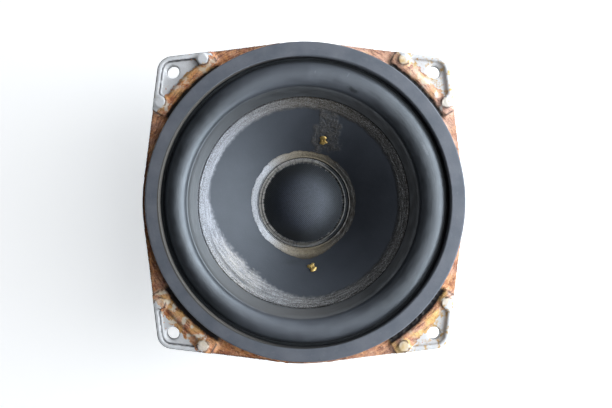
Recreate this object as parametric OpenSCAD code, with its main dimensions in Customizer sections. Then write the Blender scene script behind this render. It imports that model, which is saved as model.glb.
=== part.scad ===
// Cone loudspeaker driver, standing on its back plate with the cone facing up.
// The origin is at the centre of the back face, and Z runs along the cone's axis.

/* [Frame] */
// Diameter of the frame over the middle of its bulged sides
frame_d = 126; // [124:0.5:128]
// Spacing of neighbouring mounting holes
hole_spacing = 102; // [101:0.5:104]
// Bore of each mounting hole
hole_d = 5; // [4:0.1:5.4]
// Radius of each round corner, about its mounting hole
corner_r = 6; // [5.5:0.25:7]
// Thickness of the front flange
flange_t = 5; // [4:0.5:6]
// Height of the flange's front face over the underside of the floor
bowl_depth = 44; // [43:0.5:46]
// Thickness of the bowl's wall, measured level
wall_t = 3; // [2:0.5:3.5]
// Thickness of the bowl's floor
floor_t = 3; // [2:0.5:3.5]
// Radius of the bowl's floor
floor_r = 43; // [42:0.5:44]
// Width of each leg, on the bowl's outer face at the height of the terminal board
leg_w = 24.6; // [22:0.2:28]
// Height of each window
window_h = 21; // [16:1:22]
// Width of the ledge that carries the spider
ledge_w = 5; // [4:0.5:6]
// Height of the ledge's face over the top of the floor
ledge_h = 8; // [7:0.5:9]
// Width of each small vent under the ledge
vent_w = 8; // [5:1:9]
// Thickness of the rib on the back of a leg
rib_t = 3; // [2:0.5:4]

/* [Corner pads] */
// Gap between the gasket and each corner pad
groove_w = 2.8; // [2:0.2:3.2]
// Height of each corner pad over the flange
pad_h = 1.5; // [1:0.25:2]
// Angle from the diagonal to each end of a corner pad
pad_half_angle = 13.5; // [12.5:0.5:15]
// Width of the bar along the inner side of a pocket
bar_w = 2.3; // [1.5:0.1:2.6]
// Width of the rim round the outer side of a pocket
rim_w = 2; // [1.4:0.1:2.4]
// Angle from the diagonal to each end of a pocket
pocket_half_angle = 8; // [7:0.25:8.25]
// Diameter of each round boss on a corner pad
boss_d = 4.4; // [3.6:0.2:4.6]
// Height of each boss over the corner pad
boss_h = 1; // [0.5:0.25:1.5]
// Angle from the diagonal to each boss
boss_angle = 10; // [9.75:0.25:10.5]

/* [Gasket and surround] */
// Width of the flange left bare outside the gasket, at the middle of a side
bare_edge = 1; // [0.5:0.25:1.5]
// Width of the gasket ring
gasket_w = 6.5; // [6:0.25:7]
// Height of the gasket ring
gasket_h = 5.5; // [5:0.25:6]
// Width of the bevel on the gasket's inner edge
gasket_bevel = 1; // [0.5:0.25:2]
// Outer width of the half roll
roll_w = 9; // [8:0.25:9.5]
// Gap between the roll and the gasket
roll_gap = 0.5; // [0.3:0.1:0.8]
// Thickness of the surround
surround_t = 0.5; // [0.3:0.1:0.8]
// Width of the surround's lap on the cone
lap_w = 4; // [3:0.25:5]
// Width of the surround's outer lap under the gasket
outer_lap_w = 6; // [4:0.25:6]

/* [Cone and cap] */
// Depth of the cone from its rim to its neck
cone_depth = 14; // [12:0.5:16]
// Thickness of the cone, measured upright
cone_t = 0.7; // [0.5:0.1:1]
// Width of the ring of glue round the neck
glue_w = 3; // [2:0.25:4]
// Thickness of the ring of glue
glue_t = 0.5; // [0.3:0.1:0.8]
// Width of the flat rim round the dust cap
cap_rim_w = 1.8; // [1.2:0.1:2.2]
// Rise of the dust cap's dome
cap_rise = 6; // [3:0.25:7]
// Thickness of the dust cap
cap_t = 0.5; // [0.3:0.1:0.8]
// Distance of each eyelet from the axis
eyelet_reach = 26; // [25:0.5:28]
// Direction of the positive eyelet, counted from the terminals
positive_angle = 72.5; // [68:0.5:78]
// Direction of the negative eyelet, counted from the terminals
negative_angle = -82.5; // [-88:0.5:-78]
// Diameter of an eyelet's head
eyelet_head_d = 3.8; // [3.2:0.1:4.2]
// Outer diameter of an eyelet's barrel
eyelet_barrel_d = 2.4; // [2:0.1:2.8]
// Wall of an eyelet's barrel
eyelet_wall = 0.4; // [0.3:0.05:0.5]
// Length of an eyelet behind the cone's face
eyelet_l = 2.2; // [1.8:0.1:2.8]

/* [Coil and motor] */
// Outer diameter of the coil former
former_d = 35.8; // [34:0.2:37]
// Wall of the coil former
former_t = 0.3; // [0.2:0.05:0.4]
// Thickness of the winding
winding_t = 0.65; // [0.5:0.05:0.8]
// Length of the winding
winding_l = 10; // [8:0.5:11]
// Length of bare former below the winding
former_tail = 0.5; // [0.5:0.25:1.5]
// Radial gap on each side of the moving coil
air_gap = 0.4; // [0.3:0.05:0.5]
// Diameter of both steel plates
plate_d = 80; // [78:1:84]
// Thickness of the top plate
top_plate_t = 5; // [4:0.5:6]
// Thickness of the back plate
back_plate_t = 5; // [4:0.5:6]
// Bevel on the rear edge of the back plate
plate_bevel = 1; // [0.5:0.25:1.5]
// Diameter of the magnet
magnet_d = 86; // [84:1:90]
// Bore of the magnet
magnet_bore_d = 44; // [42:0.5:46]
// Height of the magnet
magnet_h = 15; // [13:0.5:18]
// Diameter of the pole piece's spigot in the back plate
spigot_d = 12; // [8:1:16]

/* [Spider] */
// Thickness of the spider's cloth
spider_t = 0.4; // [0.3:0.05:0.6]
// Number of waves in the spider
spider_waves = 5; // [4:1:6]
// Height of each wave from its middle
spider_wave_h = 0.8; // [0.5:0.1:1]
// Height of the spider's collar on the former
collar_h = 3; // [2:0.5:4]

/* [Screws] */
// Diameter of each plate screw
screw_d = 4; // [3:0.5:4]
// Diameter of each screw head
screw_head_d = 7; // [6:0.5:8]
// Height of each screw head
screw_head_h = 2.4; // [2:0.2:3]
// Distance of each screw from the axis
screw_reach = 31; // [30:0.5:32]

/* [Terminals] */
// Width of the terminal board
board_w = 34; // [32:1:36]
// Height of the terminal board
board_h = 12; // [10:0.5:13]
// Thickness of the terminal board
board_t = 1.6; // [1.2:0.1:2]
// Height of the board's seat over the bowl's wall, at the board's upper edge
seat_stand = 0.3; // [0.1:0.1:1]
// Height of the board's middle over the bowl's floor
board_rise = 18; // [17:0.5:19]
// Distance of each lug from the middle of the board
lug_offset = 13.5; // [13.5:0.25:14]
// Width of each lug
lug_w = 5; // [4:0.25:5]
// Thickness of each lug
lug_t = 0.8; // [0.6:0.1:1]
// Length of a lug below the board
lug_drop = 5; // [4:0.5:7]
// Width of the tab that passes through the board
tab_w = 3; // [2.4:0.1:3.2]
// Reach of the tab behind the board
tab_l = 6; // [5:0.5:6.5]
// Distance of each rivet from the middle of the board
rivet_offset = 5; // [4:0.25:6]
// Diameter of each rivet's shank
rivet_d = 3; // [2:0.25:3.25]
// Diameter of each rivet's head
rivet_head_d = 5.2; // [4.6:0.1:5.6]
// Height of each rivet's head
rivet_head_h = 1; // [0.6:0.1:1.4]
// Length of each rivet in the casting
rivet_grip = 3; // [2:0.25:3.5]
// Diameter of each flexible lead
lead_d = 1.2; // [0.8:0.1:1.5]
// Thickness of the solder round a lead's end
solder_t = 0.5; // [0.3:0.1:0.6]
// Length of the solder along a lead
solder_l = 1.4; // [1:0.1:1.8]

/* [Hidden] */

$fn = 96;
// Clearance of a bonded or pressed joint
bond_gap = 0.05;
// Clearance of a screw or rivet in its hole
loose_gap = 0.25;
// Overlap of a cut past the face that it opens
cut = 1;
// Number of corners, legs and windows
corner_count = 4;
corner_step = 360 / corner_count;

// Heights, from the back face up
magnet_z = back_plate_t;
top_plate_z = magnet_z + magnet_h;
floor_z = top_plate_z + top_plate_t;
floor_top_z = floor_z + floor_t;
ledge_z = floor_top_z + ledge_h;
flange_z = floor_z + bowl_depth;
flange_under_z = flange_z - flange_t;
window_z = ledge_z + wall_t;
board_z = floor_top_z + board_rise;
neck_z = flange_z - cone_depth;

// Radii, from the edge of the frame inwards
frame_r = frame_d / 2;
hole_reach = hole_spacing / 2;
hole_distance = hole_reach * sqrt(2);
gasket_r = frame_r - bare_edge;
gasket_inner_r = gasket_r - gasket_w;
pad_inner_r = gasket_r + groove_w;
boss_reach = pad_inner_r + bar_w + rim_w / 2;
roll_outer_r = gasket_inner_r - roll_gap;
roll_inner_r = roll_outer_r - roll_w;
roll_mid_r = (roll_outer_r + roll_inner_r) / 2;
roll_r = (roll_w - surround_t) / 2;
cone_edge_r = roll_inner_r - lap_w;
frame_opening_r = gasket_inner_r - bond_gap;
bowl_top_r = frame_opening_r + wall_t;
former_r = former_d / 2;
winding_r = former_r + bond_gap + winding_t;
gap_outer_r = winding_r + air_gap;
pole_r = former_r - former_t - air_gap;
floor_hole_r = gap_outer_r + air_gap;
plate_r = plate_d / 2;
neck_r = former_r + air_gap / 2;

// Winding and former, centred on the top plate
winding_z = top_plate_z + (top_plate_t - winding_l) / 2;
former_z = winding_z - former_tail;

// Radius of the bowl's outer face at a height
function bowl_r(z) =
  floor_r + (bowl_top_r - floor_r) * (z - floor_top_z) / (flange_under_z - floor_top_z);
ledge_outer_r = bowl_r(ledge_z) - wall_t;
board_reach = bowl_r(board_z + board_h / 2) + seat_stand;
ledge_inner_r = ledge_outer_r - ledge_w;
// Width of each of the four windows, which stand on the diagonals between the legs
window_w = sqrt(2) * (bowl_r(board_z) - leg_w / 2);

// Front face of the cone: steeper at the neck than at the rim
cone_steps = 10;
cone_curve = 0.25;
function cone_part(r) = (r - neck_r) / (cone_edge_r - neck_r);
function cone_z(r) = neck_z + cone_depth * cone_part(r) * (1 + cone_curve * (1 - cone_part(r)));
function cone_slope(r) =
  atan(cone_depth * (1 + cone_curve - 2 * cone_curve * cone_part(r)) / (cone_edge_r - neck_r));
function cone_step_r(n) = neck_r + (cone_edge_r - neck_r) * n / cone_steps;

// Outline of the frame, drawn in by an inset: a large circle, four corner circles and their tangents
tangent_angle = acos((frame_r - corner_r) / hole_distance);
// Depth by which each straight side lies inside its tangent, so that it crosses both circles
tangent_tuck = 0.02;
function along(r, angle) = [r * cos(angle), r * sin(angle)];

module corner_web(inset) {
  corner = along(hole_distance, 45);
  depth = inset + tangent_tuck;
  polygon([
    [0, 0],
    along(frame_r - depth, 45 - tangent_angle),
    corner + along(corner_r - depth, 45 - tangent_angle),
    corner + along(corner_r - depth, 45 + tangent_angle),
    along(frame_r - depth, 45 + tangent_angle)
  ]);
}

module outline(inset = 0) {
  circle(r = frame_r - inset);
  for (n = [0 : corner_count - 1]) rotate(n * corner_step) {
    corner_web(inset);
    translate(along(hole_distance, 45)) circle(r = corner_r - inset);
  }
}

// Wedge about the first diagonal, wide enough to pass the corner
module wedge(half_angle) {
  far = 2 * frame_r;
  polygon([[0, 0], along(far, 45 - half_angle), along(far, 45 + half_angle)]);
}

module at_corners() {
  for (n = [0 : corner_count - 1]) rotate([0, 0, n * corner_step]) children();
}

module at_hole() {
  translate([hole_reach, hole_reach, 0]) children();
}

module corner_pad_outline() {
  difference() {
    intersection() {
      outline();
      wedge(pad_half_angle);
    }
    circle(r = pad_inner_r);
  }
}

module pocket_outline() {
  difference() {
    intersection() {
      outline(rim_w);
      wedge(pocket_half_angle);
    }
    circle(r = pad_inner_r + bar_w);
  }
}

module corner_pad() {
  difference() {
    translate([0, 0, flange_under_z + flange_t / 2])
      linear_extrude(flange_t / 2 + pad_h) corner_pad_outline();
    translate([0, 0, flange_z]) linear_extrude(pad_h + cut) pocket_outline();
  }
  for (side = [-1, 1]) rotate([0, 0, 45 + side * boss_angle]) translate([boss_reach, 0, flange_z - pad_h])
    cylinder(d = boss_d, h = 2 * pad_h + boss_h);
}

// Floor, ledge and sloping wall of the bowl, before its windows are cut
module bowl() {
  rotate_extrude() polygon([
    [floor_hole_r, floor_z],
    [floor_r, floor_z],
    [floor_r, floor_top_z],
    [bowl_top_r, flange_under_z],
    [bowl_top_r, flange_z - flange_t / 2],
    [frame_opening_r, flange_z - flange_t / 2],
    [frame_opening_r, flange_under_z],
    [ledge_outer_r, ledge_z],
    [ledge_inner_r, ledge_z],
    [ledge_inner_r, floor_top_z],
    [floor_hole_r, floor_top_z]
  ]);
}

// Rib on the back of a leg, drawn along +X
rib_top_z = flange_under_z + cut;
module leg_rib() {
  rib_edge_r = bowl_top_r + wall_t / 2;
  translate([0, rib_t / 2, 0]) rotate([90, 0, 0]) linear_extrude(rib_t) polygon([
    [floor_r - wall_t, floor_z],
    [floor_r + wall_t / 2, floor_z],
    [floor_r + wall_t, floor_top_z],
    [rib_edge_r, rib_top_z],
    [frame_opening_r + wall_t / 2, rib_top_z],
    [floor_r - wall_t / 2, floor_top_z]
  ]);
}

// Flat seat for the terminal board, on the leg along +X
seat_w = 2 * rivet_offset + rivet_head_d;
module board_seat() {
  difference() {
    translate([floor_r, -seat_w / 2, board_z - board_h / 2])
      cube([board_reach - floor_r, seat_w, board_h]);
    rotate_extrude() polygon([
      [0, ledge_z],
      [ledge_outer_r + cut, ledge_z],
      [frame_opening_r + cut, flange_under_z],
      [0, flange_under_z]
    ]);
  }
}

module window_cut() {
  rotate([0, 0, 45]) translate([ledge_inner_r, -window_w / 2, window_z])
    cube([frame_r, window_w, window_h]);
}

vent_count = 8;
module vent_cut() {
  translate([ledge_inner_r - cut, -vent_w / 2, floor_top_z + cut])
    cube([2 * ledge_w + 2 * wall_t, vent_w, ledge_h - 2 * cut - wall_t / 2]);
}

module at_screws() {
  for (n = [0 : corner_count - 1]) rotate([0, 0, 45 + n * corner_step])
    translate([screw_reach, 0, 0]) children();
}

module at_rivets() {
  for (side = [-1, 1]) translate([board_reach, side * rivet_offset, board_z])
    rotate([0, 90, 0]) children();
}

module basket() {
  color([0.78, 0.77, 0.74]) difference() {
    union() {
      translate([0, 0, flange_under_z]) linear_extrude(flange_t) difference() {
        outline();
        circle(r = frame_opening_r);
      }
      bowl();
      at_corners() corner_pad();
      for (n = [1 : corner_count - 1]) rotate([0, 0, n * corner_step]) leg_rib();
      board_seat();
    }
    at_corners() {
      window_cut();
      at_hole() translate([0, 0, flange_under_z - cut]) cylinder(d = hole_d, h = flange_t + 2 * cut);
    }
    for (n = [0 : vent_count - 1]) rotate([0, 0, (n + 0.5) * 360 / vent_count]) vent_cut();
    at_screws() translate([0, 0, floor_z - cut]) cylinder(d = screw_d + 2 * loose_gap, h = floor_t + 2 * cut);
    at_rivets() translate([0, 0, -rivet_grip - loose_gap])
      cylinder(d = rivet_d + 2 * bond_gap, h = rivet_grip + loose_gap + cut);
  }
}

module front_gasket() {
  bottom = flange_z + surround_t;
  top = bottom + gasket_h;
  color([0.33, 0.36, 0.39]) rotate_extrude() polygon([
    [gasket_inner_r, bottom],
    [gasket_r, bottom],
    [gasket_r, top - gasket_bevel / 3],
    [gasket_r - gasket_bevel / 3, top],
    [gasket_inner_r + gasket_bevel, top],
    [gasket_inner_r + gasket_bevel / 4, top - gasket_bevel / 3],
    [gasket_inner_r, top - gasket_bevel]
  ]);
}

roll_steps = 16;
module surround() {
  mid_z = flange_z + surround_t / 2;
  outer_arc = [for (n = [0 : roll_steps])
    [roll_mid_r, mid_z] + (roll_r + surround_t / 2) * [cos(180 * n / roll_steps), sin(180 * n / roll_steps)]];
  inner_arc = [for (n = [roll_steps : -1 : 0])
    [roll_mid_r, mid_z] + (roll_r - surround_t / 2) * [cos(180 * n / roll_steps), sin(180 * n / roll_steps)]];
  lap_start = [[cone_edge_r, flange_z + surround_t], [cone_edge_r, flange_z]];
  lap_end = [
    [frame_opening_r + outer_lap_w, flange_z],
    [frame_opening_r + outer_lap_w, flange_z + surround_t]
  ];
  under_inner = [[roll_mid_r - roll_r + surround_t / 2, flange_z]];
  under_outer = [[roll_mid_r + roll_r - surround_t / 2, flange_z]];
  over_outer = [[roll_outer_r, flange_z + surround_t]];
  over_inner = [[roll_inner_r, flange_z + surround_t]];
  color([0.09, 0.1, 0.11]) rotate_extrude() polygon(concat(
    lap_start, under_inner, inner_arc, under_outer, lap_end, over_outer, outer_arc, over_inner));
}

// Middle height of the spider's cloth at a radius
spider_start_r = former_r + bond_gap + spider_t;
spider_steps = 10 * spider_waves;
function spider_z(part) = ledge_z + spider_t / 2 + spider_wave_h * sin(360 * spider_waves * part);
function spider_step_r(n) =
  spider_start_r + spider_t + (ledge_inner_r - bond_gap - spider_start_r - spider_t) * n / spider_steps;
module spider() {
  upper = [for (n = [0 : spider_steps]) [spider_step_r(n), spider_z(n / spider_steps) + spider_t / 2]];
  lower = [for (n = [spider_steps : -1 : 0]) [spider_step_r(n), spider_z(n / spider_steps) - spider_t / 2]];
  color([0.72, 0.6, 0.38]) rotate_extrude() polygon(concat(
    [
      [former_r + bond_gap, ledge_z],
      [former_r + bond_gap, ledge_z + collar_h],
      [spider_start_r, ledge_z + collar_h]
    ],
    upper,
    [
      [ledge_outer_r - bond_gap, ledge_z + spider_t],
      [ledge_outer_r - bond_gap, ledge_z]
    ],
    lower));
}

module top_plate() {
  color([0.55, 0.56, 0.57]) difference() {
    translate([0, 0, top_plate_z]) cylinder(d = plate_d, h = top_plate_t);
    translate([0, 0, top_plate_z - cut]) cylinder(r = gap_outer_r, h = top_plate_t + 2 * cut);
    at_screws() translate([0, 0, top_plate_z - cut]) cylinder(d = screw_d + 2 * bond_gap, h = top_plate_t + 2 * cut);
  }
}

module magnet() {
  color([0.2, 0.2, 0.21]) translate([0, 0, magnet_z]) difference() {
    cylinder(d = magnet_d, h = magnet_h);
    translate([0, 0, -cut]) cylinder(d = magnet_bore_d, h = magnet_h + 2 * cut);
  }
}

module back_plate() {
  color([0.55, 0.56, 0.57]) rotate_extrude() polygon([
    [spigot_d / 2 + bond_gap, 0],
    [plate_r - plate_bevel, 0],
    [plate_r, plate_bevel],
    [plate_r, back_plate_t],
    [spigot_d / 2 + bond_gap, back_plate_t]
  ]);
}

// The spigot stops short of the back face, and the pole ends level with the top plate
spigot_recess = 0.3;
module pole_piece() {
  color([0.6, 0.61, 0.62]) {
    translate([0, 0, back_plate_t]) cylinder(r = pole_r, h = floor_z - back_plate_t);
    translate([0, 0, spigot_recess]) cylinder(d = spigot_d, h = back_plate_t - spigot_recess + cut);
  }
}

module plate_screws() {
  color([0.7, 0.68, 0.6]) at_screws() {
    translate([0, 0, top_plate_z + loose_gap])
      cylinder(d = screw_d, h = top_plate_t + floor_t + screw_head_h / 2);
    difference() {
      translate([0, 0, floor_top_z]) cylinder(d = screw_head_d, h = screw_head_h);
      for (turn = [0, 90]) rotate([0, 0, turn])
        translate([-screw_head_d / 4, -screw_d / 8, floor_top_z + screw_head_h / 2])
        cube([screw_head_d / 2, screw_d / 4, screw_head_h]);
    }
  }
}

// The board's slots take the tabs of the lugs
module terminal_board() {
  color([0.36, 0.2, 0.1]) difference() {
    translate([board_reach, -board_w / 2, board_z - board_h / 2]) cube([board_t, board_w, board_h]);
    for (side = [-1, 1]) translate([
      board_reach - cut,
      side * lug_offset - tab_w / 2 - bond_gap,
      board_z - lug_t / 2 - bond_gap
    ])
      cube([board_t + 2 * cut, tab_w + 2 * bond_gap, lug_t + 2 * bond_gap]);
    at_rivets() translate([0, 0, -cut]) cylinder(d = rivet_d + 2 * bond_gap, h = board_t + 2 * cut);
  }
}

module terminal_rivets() {
  color([0.75, 0.74, 0.7]) at_rivets() {
    translate([0, 0, -rivet_grip]) cylinder(d = rivet_d, h = rivet_grip + board_t + rivet_head_h / 2);
    translate([0, 0, board_t]) cylinder(d = rivet_head_d, h = rivet_head_h);
  }
}

// A flat lug on the board's front, with an eye below the board and a tab through it
lug_top = 2.5;
eye_d = 2.2;
module lug(side) {
  face = board_reach + board_t;
  foot_z = board_z - board_h / 2 - lug_drop;
  color([0.8, 0.68, 0.36]) translate([0, side * lug_offset, 0]) {
    difference() {
      translate([face, -lug_w / 2, foot_z]) cube([lug_t, lug_w, board_z + lug_top - foot_z]);
      translate([face - cut, 0, foot_z + lug_w / 2]) rotate([0, 90, 0]) cylinder(d = eye_d, h = lug_t + 2 * cut);
    }
    translate([board_reach - tab_l, -tab_w / 2, board_z - lug_t / 2]) cube([tab_l + board_t + lug_t / 2, tab_w, lug_t]);
  }
}

module positive_lug() {
  lug(1);
}

module negative_lug() {
  lug(-1);
}

// An eyelet's place on the cone: its middle lies on the cone's front face
module at_eyelet(angle) {
  rotate([0, 0, angle]) translate([eyelet_reach, 0, cone_z(eyelet_reach)])
    rotate([0, -cone_slope(eyelet_reach), 0]) children();
}

eyelet_head_t = 0.4;
module eyelet(angle) {
  color([0.8, 0.63, 0.25]) at_eyelet(angle) difference() {
    union() {
      translate([0, 0, bond_gap]) cylinder(d = eyelet_head_d, h = eyelet_head_t);
      translate([0, 0, -eyelet_l]) cylinder(d = eyelet_barrel_d, h = eyelet_l + bond_gap + eyelet_head_t / 2);
    }
    translate([0, 0, -eyelet_l + eyelet_wall])
      cylinder(d = eyelet_barrel_d - 2 * eyelet_wall, h = eyelet_l + cut);
  }
}

module positive_eyelet() {
  eyelet(positive_angle);
}

module negative_eyelet() {
  eyelet(negative_angle);
}

module cone() {
  front = [for (n = [0 : cone_steps]) [cone_step_r(n), cone_z(cone_step_r(n))]];
  back = [for (n = [cone_steps : -1 : 0]) [cone_step_r(n), cone_z(cone_step_r(n)) - cone_t]];
  rim = [[roll_inner_r - bond_gap, flange_z], [roll_inner_r - bond_gap, flange_z - cone_t]];
  color([0.17, 0.19, 0.22]) difference() {
    rotate_extrude() polygon(concat(front, rim, back));
    for (angle = [positive_angle, negative_angle]) at_eyelet(angle)
      translate([0, 0, -eyelet_l]) cylinder(d = eyelet_barrel_d + 2 * bond_gap, h = 2 * eyelet_l);
  }
}

// The glue bridges the cone's neck and the top of the former
module neck_glue() {
  edge_r = neck_r + glue_w;
  mid_r = neck_r + glue_w / 2;
  color([0.45, 0.43, 0.41]) rotate_extrude() polygon([
    [former_r + bond_gap, neck_z + bond_gap],
    [neck_r, neck_z + bond_gap],
    [mid_r, cone_z(mid_r) + bond_gap],
    [edge_r, cone_z(edge_r) + bond_gap],
    [edge_r, cone_z(edge_r) + glue_t / 2],
    [mid_r, cone_z(mid_r) + glue_t],
    [neck_r, neck_z + glue_t + bond_gap],
    [former_r + bond_gap, neck_z + glue_t + bond_gap]
  ]);
}

// The cap's flat rim stands on the end of the former, and its dome rises inside the rim
cap_steps = 8;
cap_z = neck_z + glue_t + bond_gap;
cap_dome_r = former_r - cap_rim_w;
cap_sphere_r = (cap_dome_r * cap_dome_r + cap_rise * cap_rise) / (2 * cap_rise);
function cap_dome(r, thickness) =
  cap_z + thickness + cap_rise - cap_sphere_r + sqrt(cap_sphere_r * cap_sphere_r - r * r);
module dust_cap() {
  radii = [for (n = [0 : cap_steps]) cap_dome_r * n / cap_steps];
  top = [for (r = radii) [r, cap_dome(r, cap_t)]];
  under = [for (n = [cap_steps : -1 : 0]) [radii[n], cap_dome(radii[n], 0)]];
  color([0.15, 0.17, 0.21]) rotate_extrude()
    polygon(concat(top, [[former_r, cap_z + cap_t], [former_r, cap_z]], under));
}

module voice_coil_former() {
  color([0.75, 0.6, 0.35]) translate([0, 0, former_z]) difference() {
    cylinder(r = former_r, h = cap_z - former_z);
    translate([0, 0, -cut]) cylinder(r = former_r - former_t, h = cap_z - former_z + 2 * cut);
  }
}

module voice_coil() {
  color([0.72, 0.36, 0.16]) translate([0, 0, winding_z]) difference() {
    cylinder(r = winding_r, h = winding_l);
    translate([0, 0, -cut]) cylinder(r = former_r + bond_gap, h = winding_l + 2 * cut);
  }
}

// Leads: each runs from the end of its lug's tab, up to the back of its eyelet
lead_sides = 8;
lead_steps = 7;
lead_straight = 2;
positive_way = [[40, 16, 47.5], [30, 22, 49], [19, 26.5, 51.5], [11, 28, 54.5]];
negative_way = [[40, -16, 47.5], [30, -23, 49], [18, -28, 51.5], [8, -29.5, 54.5]];

function unit(v) = v / norm(v);
function eyelet_axis(angle) = let(slope = cone_slope(eyelet_reach))
  [-sin(slope) * cos(angle), -sin(slope) * sin(angle), cos(slope)];
function eyelet_point(angle, depth) =
  [eyelet_reach * cos(angle), eyelet_reach * sin(angle), cone_z(eyelet_reach)]
  - depth * eyelet_axis(angle);
function lead_points(side, angle, way) = concat(
  [[board_reach - tab_l, side * lug_offset, board_z]],
  [[board_reach - tab_l - lead_straight, side * lug_offset, board_z]],
  way,
  [eyelet_point(angle, eyelet_l + lead_straight)],
  [eyelet_point(angle, eyelet_l)]);

// Smooth curve through the middle points, with its first and last stretch straight
function curve_point(a, b, c, d, t) = 0.5 * (
  2 * b + (c - a) * t + (2 * a - 5 * b + 4 * c - d) * t * t + (3 * b - a - 3 * c + d) * t * t * t);
function curve(points) = let(last = len(points) - 1) concat(
  [points[0]],
  [for (n = [1 : last - 2], step = [0 : lead_steps - 1])
    curve_point(points[n - 1], points[n], points[n + 1], points[n + 2], step / lead_steps)],
  [points[last - 1], points[last]]);
function tangent(points, n) = let(last = len(points) - 1)
  n == 0 ? unit(points[1] - points[0])
  : n == last ? unit(points[last] - points[last - 1])
  : unit(points[n + 1] - points[n - 1]);
function ring(point, direction) = let(
  u = unit(cross(direction, [0, 0, 1])),
  v = cross(u, direction))
  [for (k = [0 : lead_sides - 1])
    point + lead_d / 2 * (cos(360 * k / lead_sides) * u + sin(360 * k / lead_sides) * v)];

module lead(points) {
  path = curve(points);
  rings = len(path);
  vertices = [for (n = [0 : rings - 1]) each ring(path[n], tangent(path, n))];
  function corner(n, k) = n * lead_sides + k % lead_sides;
  walls = [for (n = [0 : rings - 2], k = [0 : lead_sides - 1]) each [
    [corner(n, k), corner(n + 1, k), corner(n + 1, k + 1)],
    [corner(n, k), corner(n + 1, k + 1), corner(n, k + 1)]
  ]];
  start = [for (k = [1 : lead_sides - 2]) [0, k, k + 1]];
  end = [for (k = [1 : lead_sides - 2]) [corner(rings - 1, 0), corner(rings - 1, k + 1), corner(rings - 1, k)]];
  color([0.75, 0.55, 0.4]) polyhedron(points = vertices, faces = concat(walls, start, end));
}

module positive_lead() {
  lead(lead_points(1, positive_angle, positive_way));
}

module negative_lead() {
  lead(lead_points(-1, negative_angle, negative_way));
}

// Solder round a lead's end, standing on the face that the lead meets
module solder_collar() {
  bore_r = lead_d / 2 + bond_gap;
  rotate_extrude() polygon([
    [bore_r, 0],
    [bore_r + solder_t, 0],
    [bore_r + solder_t * 0.8, solder_l / 2],
    [bore_r + solder_t / 4, solder_l],
    [bore_r, solder_l]
  ]);
}

module lug_solder() {
  color([0.66, 0.66, 0.64]) for (side = [-1, 1])
    translate([board_reach - tab_l, side * lug_offset, board_z]) rotate([0, -90, 0]) solder_collar();
}

module eyelet_solder() {
  color([0.66, 0.66, 0.64]) for (angle = [positive_angle, negative_angle])
    at_eyelet(angle) translate([0, 0, -eyelet_l]) rotate([180, 0, 0]) solder_collar();
}

basket();
front_gasket();
surround();
spider();
top_plate();
magnet();
back_plate();
pole_piece();
plate_screws();
terminal_board();
terminal_rivets();
positive_lug();
negative_lug();
positive_lead();
negative_lead();
cone();
neck_glue();
dust_cap();
voice_coil_former();
voice_coil();
positive_eyelet();
negative_eyelet();
lug_solder();
eyelet_solder();
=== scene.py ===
from functools import partial
from itertools import product
from math import atan, cos, pi, radians, sin

import bmesh
import bpy
import numpy as np
from mathutils import Matrix, Vector
from mathutils.bvhtree import BVHTree


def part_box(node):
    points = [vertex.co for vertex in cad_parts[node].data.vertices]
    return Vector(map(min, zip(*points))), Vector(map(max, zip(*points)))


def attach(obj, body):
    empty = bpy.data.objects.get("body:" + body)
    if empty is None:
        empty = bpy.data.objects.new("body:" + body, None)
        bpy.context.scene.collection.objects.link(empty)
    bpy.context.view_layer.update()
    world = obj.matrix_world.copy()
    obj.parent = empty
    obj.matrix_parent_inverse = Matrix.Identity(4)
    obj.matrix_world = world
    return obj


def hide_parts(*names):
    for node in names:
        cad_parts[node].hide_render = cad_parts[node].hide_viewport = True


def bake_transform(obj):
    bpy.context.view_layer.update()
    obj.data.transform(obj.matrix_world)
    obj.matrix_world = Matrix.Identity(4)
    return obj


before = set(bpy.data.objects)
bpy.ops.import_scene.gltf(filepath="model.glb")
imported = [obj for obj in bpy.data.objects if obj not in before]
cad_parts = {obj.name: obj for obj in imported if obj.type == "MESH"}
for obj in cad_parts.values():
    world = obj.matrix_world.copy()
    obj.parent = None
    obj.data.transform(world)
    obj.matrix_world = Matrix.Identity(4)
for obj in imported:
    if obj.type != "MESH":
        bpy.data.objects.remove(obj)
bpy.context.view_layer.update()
scene = bpy.context.scene
scene.view_settings.view_transform = "Standard"

MM = 0.001

# Camera: straight above the driver, as in the photograph
PHOTO_W, FOCAL_PX, SENSOR_W = 612, 1025, 36
CAMERA_AT = (1.0, -0.55, 469.0)

camera = bpy.data.objects.new("camera", bpy.data.cameras.new("camera"))
camera.data.sensor_width = SENSOR_W
camera.data.lens = FOCAL_PX * SENSOR_W / PHOTO_W
camera.data.clip_start = 0.01
camera.location = [MM * v for v in CAMERA_AT]
scene.collection.objects.link(camera)
scene.camera = camera

# Real sizes in mm: the ones that the frame doesn't give
FLANGE_Z, PAD_IN_R, PAD_TOP_Z, BOSS_TOP_Z = 69.0, 64.3, 70.5, 71.5
POCKET_IN_R, PAD_HALF_ANGLE = 66.6, 13.5
GASKET_FLAT_R, GASKET_OUT_R, GASKET_LIES = 56.4, 61.8, (0.73, 0.28)
ROLL_R, ROLL_H, ROLL_SIDE_H, ROLL_MID_R, ROLL_SHEET = 4.4, 4.25, 1.5, 50.15, 0.5
# The second of these is the height below which the gasket's inner wall is painted in shade
ROLL_Z, WALL_SHADE_Z = 69.25, 73.9
LAP_IN_R, LAP_BEND_R, LAP_SLOPE, LAP_OUT_R = 41.5, 44.6, 0.33, 60.95
CONE_NECK_R, CONE_EDGE_R, CONE_RIM_R = 18.1, 41.5, 45.4
CONE_NECK_Z, CONE_DEPTH, CONE_CURVE, CONE_SHEET = 55.0, 14.0, 0.25, 0.7
NECK_GLUE_IN_R, NECK_GLUE_OUT_R, NECK_GLUE_T = 17.95, 21.1, 0.42
CAP_RIM_R, CAP_RIDGE_R, CAP_FOOT_R, CAP_RISE, CAP_SHEET = 17.9, 16.6, 15.9, 6.5, 0.5
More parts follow.
